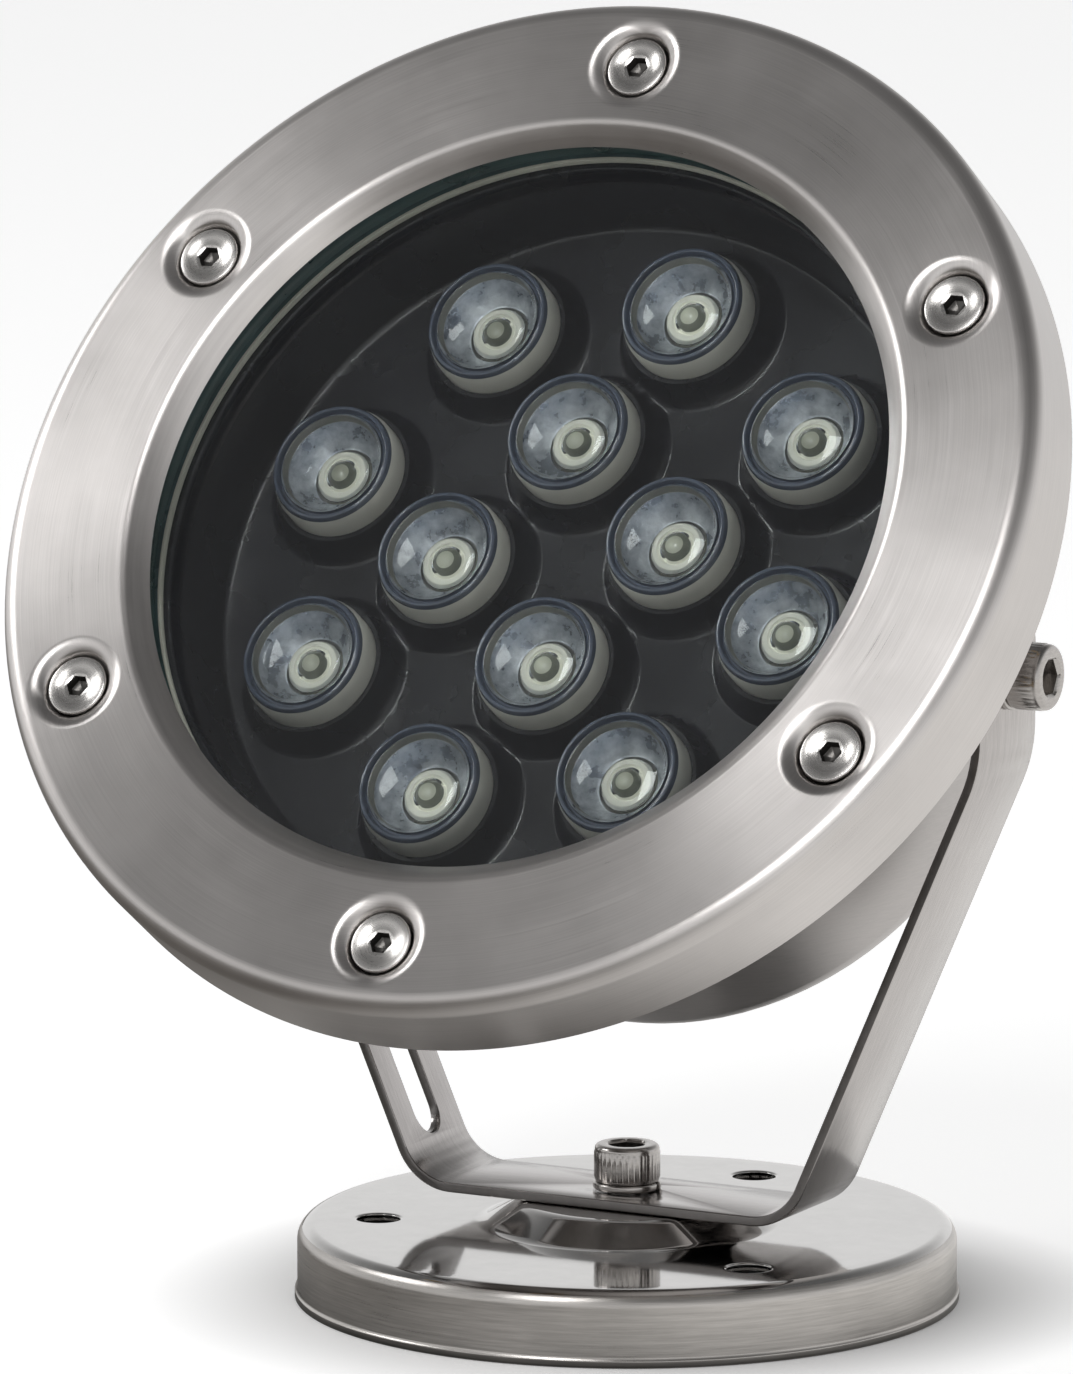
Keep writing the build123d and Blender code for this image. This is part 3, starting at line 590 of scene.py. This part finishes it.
def make_front_ring():
    """Pressed ring: rolled lip, flat face with six soft dimples and their cups, corner and skirt."""
    lip = rounded([LIP_EDGE, BEND, (66, 0)], 6)[:-1]
    corner = rounded([(70, 0), (RING_RADIUS, 0, CORNER_FILLET), (RING_RADIUS, SKIRT_END)], 10)[1:]
    inner, outer = lip[-1][0], corner[0][0]
    dimple_rings = [DIMPLE_MOUTH - (DIMPLE_MOUTH - DIMPLE_WALL) * step / 8 for step in range(9)]
    holes = [circle(radius, 64, spot) for spot in SCREW_SPOTS for radius in (dimple_rings[0], dimple_rings[-1])]
    loose = [p for spot in SCREW_SPOTS for radius in dimple_rings[1:-1] for p in circle(radius, 64, spot)]
    shape = Shape()
    points, faces = plate(
        circle(outer, RING_STEPS), [circle(inner, RING_STEPS), *holes], loose, dimple,
        lambda p: p.length < inner * cos(pi / RING_STEPS) - 0.001 or nearest_screw(p.x, p.y) < DIMPLE_WALL - 0.01,
    )
    shape.points = points
    for face in faces:
        shape.face(tuple(face))
    shape.lathe(lip, RING_STEPS)
    shape.lathe(corner, RING_STEPS)
    cup = [(DIMPLE_WALL, -DIMPLE_DEPTH), (5.0, -1.7), (4.9, -2.0), (2.9, -3.9), (2.9, -4.6)]
    for spot in SCREW_SPOTS:
        shape.lathe(cup, 64, spot)
    ring = shape.piece("front_ring", Matrix(), [ring_steel])
    add_turning(ring.data, [(0, 0)])
    ring.data.transform(HEAD)
    wall = ring.modifiers.new("sheet", "SOLIDIFY")
    wall.thickness = SHEET * MM
    wall.offset = -1
    wall.use_even_offset = True
    even_shading(ring)
    stand_in(ring, "head", "brushed_stainless", "bezel_ring")


def make_ring_screws():
    """Six countersunk screws with a turned face and a hexagon socket, whose walls and floor are painted dark as
    shade in the recess.
    """
    face = -0.95
    end = local_box("bezel_screws", HEAD)[0].z
    profile = [(0, face - 2.3), (1.35, face - 1.9, hexagon), (1.5, face - 1.8, hexagon)]
    profile += [(1.5, face - 0.35, hexagon), (1.55, face - 0.25, hexagon)]
    profile += [(1.95, face - 0.12), (2.1, face - 0.1), (3.1, face - 0.1), (3.3, face)]
    profile += rounded([(3.4, face), (4.65, face, 0.28), (4.65, face - 0.6, 0.1), (2.5, face - 2.75)], 4)[1:]
    profile += [(2.5, end + 0.4), (2.1, end), (0, end)]
    shape = Shape()
    for spot in SCREW_SPOTS:
        shape.lathe(profile[:5], 48, spot, slot=1)
        shape.lathe(profile[4:], 48, spot)
    screws = shape.piece("ring_screws", Matrix(), [screw_steel, socket_painted_shade])
    add_turning(screws.data, SCREW_SPOTS)
    screws.data.transform(HEAD)
    stand_in(screws, "head", "fastener_stainless", "bezel_screws")


make_front_ring()
make_ring_screws()

# ======== base and bracket ========

BASE_TOP, BASE_WALL, BASE_RIM = 11.3, 49.6, 50.0
BOSS_TOP, BOSS_RADIUS, BOSS_FOOT = 14.6, 16.0, 22.0
BASE_SHEET = 1.2
ANCHOR_HOLE, ANCHOR_GUARD = 3.25, 4.1  # all is level from the guard circle outwards
ANCHOR_SPOTS = circle(37.4, 3, turn=radians(86))


def anchor_edge(x, y):
    """Height of the base top near an anchor hole, whose edge is broken."""
    reach = 1 - (min(hypot(x - u, y - v) for u, v in ANCHOR_SPOTS) - ANCHOR_HOLE) / 0.5
    return BASE_TOP - 0.22 * max(0.0, reach) ** 2


def make_base():
    """Hollow pressed base: raised centre, mirror-bright top with three holes, worn satin side and a rim."""
    boss = rounded([(3.3, BOSS_TOP), (BOSS_RADIUS, BOSS_TOP, 4), (BOSS_FOOT, BASE_TOP, 4), (26, BASE_TOP)], 8)
    side = rounded([(45, BASE_TOP), (BASE_WALL, BASE_TOP, 2.6), (BASE_WALL, 1.6), (BASE_RIM, 1.1, 0.3),
                    (BASE_RIM, 0.1)], 8)
    levels = [ANCHOR_HOLE + 0.1 * step for step in range(6)]
    shape = Shape()
    guards = (levels[0], levels[-1], ANCHOR_GUARD)
    holes = [circle(radius, 64, spot) for spot in ANCHOR_SPOTS for radius in guards]
    loose = [point for spot in ANCHOR_SPOTS for radius in levels[1:-1] for point in circle(radius, 64, spot)]
    points, faces = plate(
        circle(side[0][0], FINE_STEPS), [circle(boss[-1][0], FINE_STEPS), *holes], loose, anchor_edge,
        lambda p: p.length < boss[-1][0] * cos(pi / FINE_STEPS) - 0.001 or anchor_edge(p.x, p.y) < BASE_TOP - 0.221,
    )
    shape.points = points
    for face in faces:
        shape.face(tuple(face))
    satin = 5  # the side's paint changes at this point of its line
    shape.lathe(boss, FINE_STEPS)
    shape.lathe(side[:satin + 1], FINE_STEPS)
    shape.lathe(side[satin:], FINE_STEPS, slot=1)
    base = shape.piece("base_shell", BASE, [base_steel, base_side], 40)
    wall = base.modifiers.new("sheet", "SOLIDIFY")
    wall.thickness = BASE_SHEET * MM
    wall.offset = -1
    wall.use_even_offset = True
    even_shading(base)
    stand_in(base, "base", "polished_stainless", "base_plate")


make_base()
# Faces along ±Y, the sheet's cut edges, take the darker edge paint: painted shade.
softened("strap", "u_bracket", "bracket", "strap_stainless", [strap_steel, strap_edge_painted_shade], 0.35,
         lambda face: int(abs(face.normal.y) > 0.9))

# ======== cap screws and split washers ========

PIVOT = (box_centre("left_pivot_boss") + box_centre("right_pivot_boss")) / 2
RIGHT = placed(PIVOT, Vector((1, 0, 0)), Vector((0, 1, 0)))
LEFT = placed(PIVOT, Vector((-1, 0, 0)), Vector((0, -1, 0)))
HEAD_RADIUS, HEAD_HEIGHT, SHANK_RADIUS = 5.0, 5.7, 3.0
SOCKET_HALF, SOCKET_DEPTH = 2.5, 3.2
KNURLS, KNURL_DEPTH = 36, 0.014


def knurled(angle):
    """A round head with fine grooves down its side."""
    return 1 - KNURL_DEPTH * (0.5 - 0.5 * cos(KNURLS * angle)) ** 2


def make_cap_screw(name, node, place, body):
    """Socket cap screw with a knurled head, and a plain shank with a chamfered end."""
    low, high = local_box(node, place)
    top, end = high.z, low.z
    seat = top - HEAD_HEIGHT
    floor = top - SOCKET_DEPTH
    profile = [(0, floor - 0.9), (SOCKET_HALF * 0.9, floor, hexagon), (SOCKET_HALF, floor + 0.1, hexagon)]
    profile += [(SOCKET_HALF, top - 0.45, hexagon), (SOCKET_HALF * 1.06, top - 0.3, hexagon)]
    profile += [(SOCKET_HALF * 1.22, top - 0.03), (SOCKET_HALF * 1.3, top)]
    profile += rounded([(3.4, top), (HEAD_RADIUS - 0.12, top, 0.75), (HEAD_RADIUS - 0.1, top - 1.1)], 5)[1:]
    profile += [(HEAD_RADIUS, top - 1.25, knurled), (HEAD_RADIUS, seat + 0.7, knurled)]
    profile += rounded([(HEAD_RADIUS - 0.1, seat + 0.6), (HEAD_RADIUS - 0.12, seat, 0.4), (3.4, seat)], 4)
    profile += [(SHANK_RADIUS, seat), (SHANK_RADIUS, end + 0.6), (SHANK_RADIUS - 0.6, end), (0, end)]
    shape = Shape()
    shape.lathe(profile, KNURLS * 6)
    screw = shape.piece(name, place, [bolt_steel], 40)
    stand_in(screw, body, "fastener_stainless", node)


def make_split_washer(name, node, place, body):
    """Spring washer: a square wire wound once, with a slanting cut and soft edges."""
    low, high = local_box(node, place)
    section = rounded([(3.35, low.z, 0.2), (high.x, low.z, 0.3), (high.x, high.z, 0.3), (3.35, high.z, 0.2)], 3)
    shape, loops = Shape(), []
    cut, slant, steps = radians(7), radians(5), 72
    for step in range(steps + 1):
        for radius, height in section:
            lean = slant * (height - low.z) / (high.z - low.z)
            angle = cut + lean + (2 * pi - 2 * cut) * step / steps
            shape.points.append((radius * cos(angle), radius * sin(angle), height))
        loops.append(list(range(step * len(section), (step + 1) * len(section))))
    for before, after in zip(loops, loops[1:]):
        shape.bridge(before, after)
    shape.face(tuple(loops[0]))
    shape.face(tuple(reversed(loops[-1])))
    washer = shape.piece(name, place, [bolt_steel])
    stand_in(washer, body, "fastener_stainless", node)


make_cap_screw("swivel_screw", "base_bolt", BASE, "base")
make_split_washer("swivel_washer", "base_spring_washer", BASE, "base")
for side, side_place in (("left", LEFT), ("right", RIGHT)):
    make_cap_screw(f"{side}_tilt_screw", f"{side}_pivot_bolt", side_place, "head")
    make_split_washer(f"{side}_tilt_washer", f"{side}_spring_washer", side_place, "head")

# ======== tray, lenses and LEDs ========

LENS_NUMBERS = range(1, 13)
LENS_SPOTS = [tuple(local_centre(f"lens_{number:02d}", HEAD).xy) for number in LENS_NUMBERS]
TRAY_LIP = local_box("lens_plate", HEAD)[1].z
TRAY_EDGE = local_box("lens_plate", HEAD)[1].x
TRAY_FLOOR = -27.8
FLOOR_RADIUS, MOUTH_RADIUS = 56.5, 58.2
COLLAR_TOP, COLLAR_FOOT, COLLAR_HEIGHT, LENS_HOLE = 10.8, 13.4, 4.2, 10.1
COLLAR_STEPS, LENS_STEPS, LED_STEPS = 96, 72, 48
FLOOR_GRID = 1.6


def collar_height(distance):
    """Height of one collar over the floor: a flat rim, then a steep side that flares out at its foot."""
    fall = (distance - COLLAR_TOP) / (COLLAR_FOOT - COLLAR_TOP)
    if fall <= 0:
        return COLLAR_HEIGHT
    if fall >= 1:
        return 0.0
    return COLLAR_HEIGHT * (1 - fall) ** 1.7


def tray_height(x, y):
    """The tray's floor with the highest collar at a point."""
    return TRAY_FLOOR + max(collar_height(hypot(x - u, y - v)) for u, v in LENS_SPOTS)


def make_tray():
    """Black moulded tray: lip, slightly conical wall, floor and twelve collars that merge."""
    wall = rounded([(TRAY_EDGE, TRAY_LIP), (MOUTH_RADIUS, TRAY_LIP, 0.5), (FLOOR_RADIUS, TRAY_FLOOR, 1.0),
                    (50, TRAY_FLOOR)], 5)[:-1]
    rim = wall[-1][0]
    levels = [LENS_HOLE, 10.35, 10.6, COLLAR_TOP, 10.9, 11.05, *(11.3 + 0.3 * step for step in range(7)),
              COLLAR_FOOT, 13.6]

    def nearest_collar_is(point, spot):
        """True if a point lies inside the rim and nearer to its own collar than to the others."""
        own = hypot(point[0] - spot[0], point[1] - spot[1])
        others = [hypot(point[0] - u, point[1] - v) for u, v in LENS_SPOTS if (u, v) != spot]
        return hypot(*point) < rim - 0.2 and own < min(others) - 0.12

    loose = [point for spot in LENS_SPOTS for radius in levels[1:] for point in circle(radius, COLLAR_STEPS, spot)
             if nearest_collar_is(point, spot)]
    count = int(rim / FLOOR_GRID) + 1
    for row in range(-count, count + 1):
        for column in range(-count, count + 1):
            x, y = (column + 0.5 * (row % 2)) * FLOOR_GRID, row * FLOOR_GRID * 0.866
            if hypot(x, y) < rim - 0.8 and min(hypot(x - u, y - v) for u, v in LENS_SPOTS) > levels[-1] + 0.5:
                loose.append((x, y))
    shape = Shape()
    points, faces = plate(
        circle(rim, FINE_STEPS), [circle(LENS_HOLE, COLLAR_STEPS, spot) for spot in LENS_SPOTS], loose, tray_height,
        lambda p: min(hypot(p.x - u, p.y - v) for u, v in LENS_SPOTS) < LENS_HOLE - 0.01,
    )
    shape.points = points
    for face in faces:
        shape.face(tuple(face))
    shape.lathe(wall, FINE_STEPS)
    for spot in LENS_SPOTS:
        shape.lathe([(LENS_HOLE, TRAY_FLOOR + COLLAR_HEIGHT), (LENS_HOLE, TRAY_FLOOR - 1)], COLLAR_STEPS, spot)
    tray = shape.piece("lens_tray", HEAD, [plastic], 60)
    stand_in(tray, "head", "black_plastic", "lens_plate")


def make_lens(number, spot):
    """Moulded 20 mm lens: shallow clear bowl, frosted side and a hollow over the LED. The rim is painted dark blue,
    as painted reflection of the dark overhead and painted shade of the black collar behind it, and the cone is
    painted as a mottled metal, as painted reflection of what the clear cone mirrors.
    """
    low, high = local_box(f"lens_{number:02d}", HEAD)
    top, foot = high.z - 0.8, low.z
    skirt = foot + 3.0
    bowl = [(0, top - 0.15), (2.0, top - 0.2), (4.2, top - 0.4), (6.0, top - 0.75)]
    bowl += rounded([(6.9, top - 1.0), (7.4, top - 1.0, 0.25), (7.75, top + 0.05, 0.3), (8.1, top - 0.1)], 4)[1:]
    rim = [bowl[-1], (8.25, top - 0.6), (8.5, top - 0.65)]
    rim += rounded([(8.6, top - 0.3), (8.85, top + 0.3, 0.25), (9.35, top + 0.1, 0.3), (9.6, top - 0.6)], 4)[1:]
    side = [rim[-1], (10, top - 2.0), (10, skirt), (9.4, skirt)]
    cone = [side[-1], (9.3, skirt + 0.3), (6.8, foot + 1.35), (4.6, foot + 0.05), (4.3, foot - 0.08)]
    hollow = [cone[-1], (3.8, foot - 0.08), (3.4, foot + 1.6), (2.35, foot + 1.6)]
    hollow += [(2.25 * cos(step * pi / 16), foot + 0.7 + 2.25 * sin(step * pi / 16)) for step in range(3, 8)]
    hollow.append((0, foot + 2.95))
    shape = Shape()
    for slot, profile in enumerate((bowl, side, cone, rim)):
        shape.lathe(profile, LENS_STEPS, spot, slot=slot)
    shape.lathe(hollow, LENS_STEPS, spot)
    lens = shape.piece(f"led_lens_{number:02d}", HEAD, [acrylic, lens_side, lens_cone_painted_reflection, lens_rim_painted_shade], 30)
    stand_in(lens, "head", "lens_acrylic", f"lens_{number:02d}")


def make_led(number, spot):
    """Power LED: ivory body with a raised rim, and a grey dome over the paler die."""
    low, high = local_box(f"led_{number:02d}", HEAD)
    front = high.z - 2.6
    body = [(4.0, low.z), *rounded([(4.0, front, 0.2), (3.5, front + 1.7, 0.2), (2.75, front + 1.7, 0.15),
                                    (2.45, front + 1.2)], 3)[:-1]]
    dome = [(2.35 * cos(step * pi / 16), front + 0.7 + 2.35 * sin(step * pi / 16)) for step in range(2, 8)]
    shape = Shape()
    shape.lathe([*body, (2.4, front + 1.3), dome[0]], LED_STEPS, spot)
    shape.lathe(dome[:4], LED_STEPS, spot, slot=1)
    shape.lathe([*dome[3:], (0, front + 3.05)], LED_STEPS, spot, slot=2)
    led = shape.piece(f"power_led_{number:02d}", HEAD, [ceramic, led_dome, phosphor], 50)
    stand_in(led, "head", "led_emitter", f"led_{number:02d}")


def make_rear_gasket():
    """Silicone ring behind the glass, pressed back a little from the tray's mouth."""
    low, high = local_box("rear_gasket", HEAD)
    inner, outer = 59.2, high.x
    section = rounded([(inner, low.z, 0.3), (outer, low.z), (outer, high.z), (inner, high.z, 0.3)], 4)
    shape = Shape()
    shape.lathe(section, FINE_STEPS, closed=True)
    stand_in(shape.piece("seal_ring", HEAD, [silicone], 40), "head", "silicone", "rear_gasket")


def make_glass():
    """Cover glass: clear faces, and a ground edge with small chamfers, painted dark green: the glass's own green,
    darkened as painted shade for the dark gap behind the edge.
    """
    low, high = local_box("glass", HEAD)
    radius, chamfer = high.x, 0.5
    shape = Shape()
    shape.lathe([(0, high.z), (radius - chamfer, high.z)], FINE_STEPS)
    shape.lathe([(0, low.z), (radius - chamfer, low.z)], FINE_STEPS)
    edge = [(radius - chamfer, low.z), (radius, low.z + chamfer), (radius, high.z - chamfer),
            (radius - chamfer, high.z)]
    shape.lathe(edge, FINE_STEPS, slot=1)
    pane = shape.piece("glass_pane", HEAD, [glass, glass_edge])
    stand_in(pane, "head", "tempered_glass", "glass")


make_glass()
make_rear_gasket()
make_tray()
for lens_number, lens_spot in zip(LENS_NUMBERS, LENS_SPOTS):
    make_lens(lens_number, lens_spot)
    make_led(lens_number, lens_spot)
